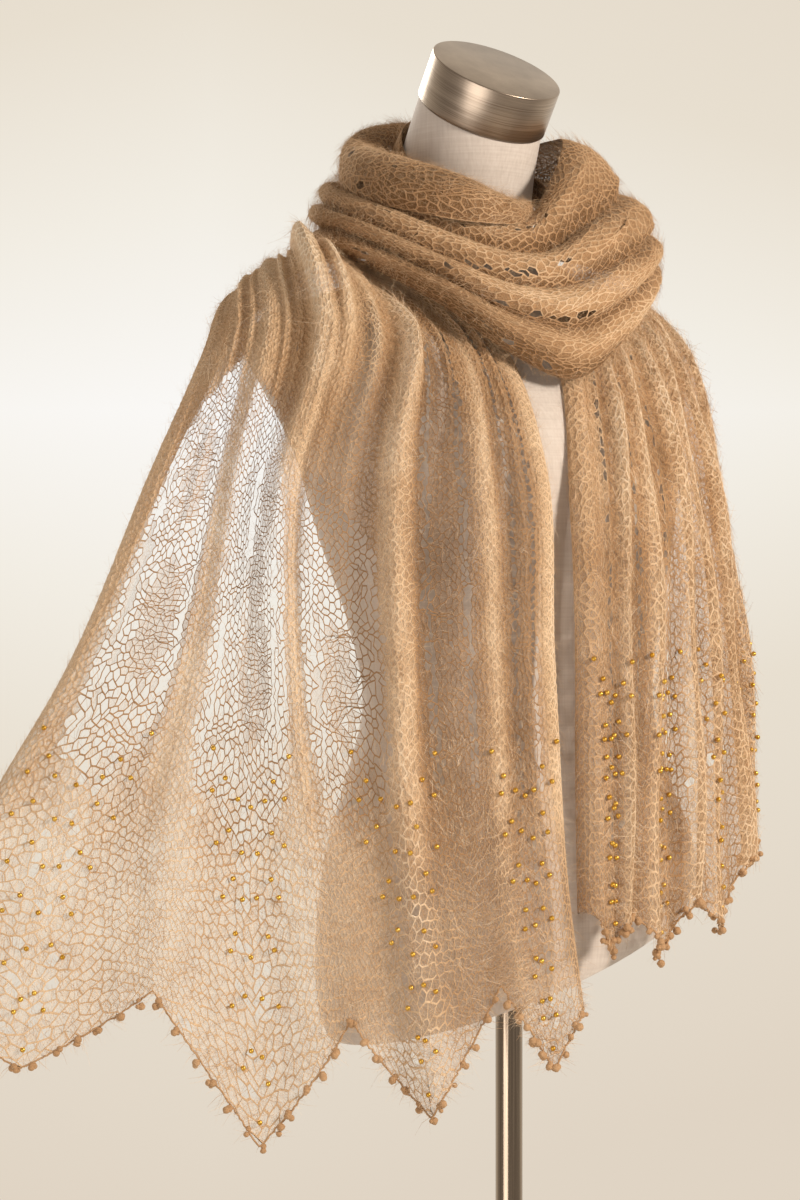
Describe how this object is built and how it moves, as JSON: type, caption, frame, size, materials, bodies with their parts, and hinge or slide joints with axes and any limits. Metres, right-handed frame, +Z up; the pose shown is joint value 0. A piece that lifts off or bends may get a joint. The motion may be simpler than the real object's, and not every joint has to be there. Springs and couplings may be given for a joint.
{
  "type": "knit lace shawl on dress form",
  "caption": "Knitted lace stole with pointed, picot-edged ends, wound as a cowl round the neck of a limbless dress form on a pole and round base.",
  "frame": {"origin": "middle of the round base's flat underside", "axes": "+Z up along the pole, -Y toward the form's chest, +X toward the form's left"},
  "size_m": [0.6685, 0.37, 1.5811],
  "materials": {
    "brushed_steel": "brushed",
    "polished_chrome": "polished",
    "white_jersey": "matt stretch cover",
    "camel_mohair": "hairy open knit",
    "camel_mohair_edge": "hairy cast-off cord"
  },
  "bodies": {
    "root": {"base_plate": "brushed_steel", "pole_collar": "polished_chrome", "pole": "polished_chrome", "dress_form": "white_jersey", "neck_cap": "brushed_steel", "right_end": "camel_mohair", "left_end": "camel_mohair", "right_picot_edge": "camel_mohair_edge", "left_picot_edge": "camel_mohair_edge", "neck_wrap_inner": "camel_mohair", "neck_wrap_roll": "camel_mohair", "neck_wrap_front": "camel_mohair", "neck_wrap_back": "camel_mohair"}
  },
  "joints": []
}
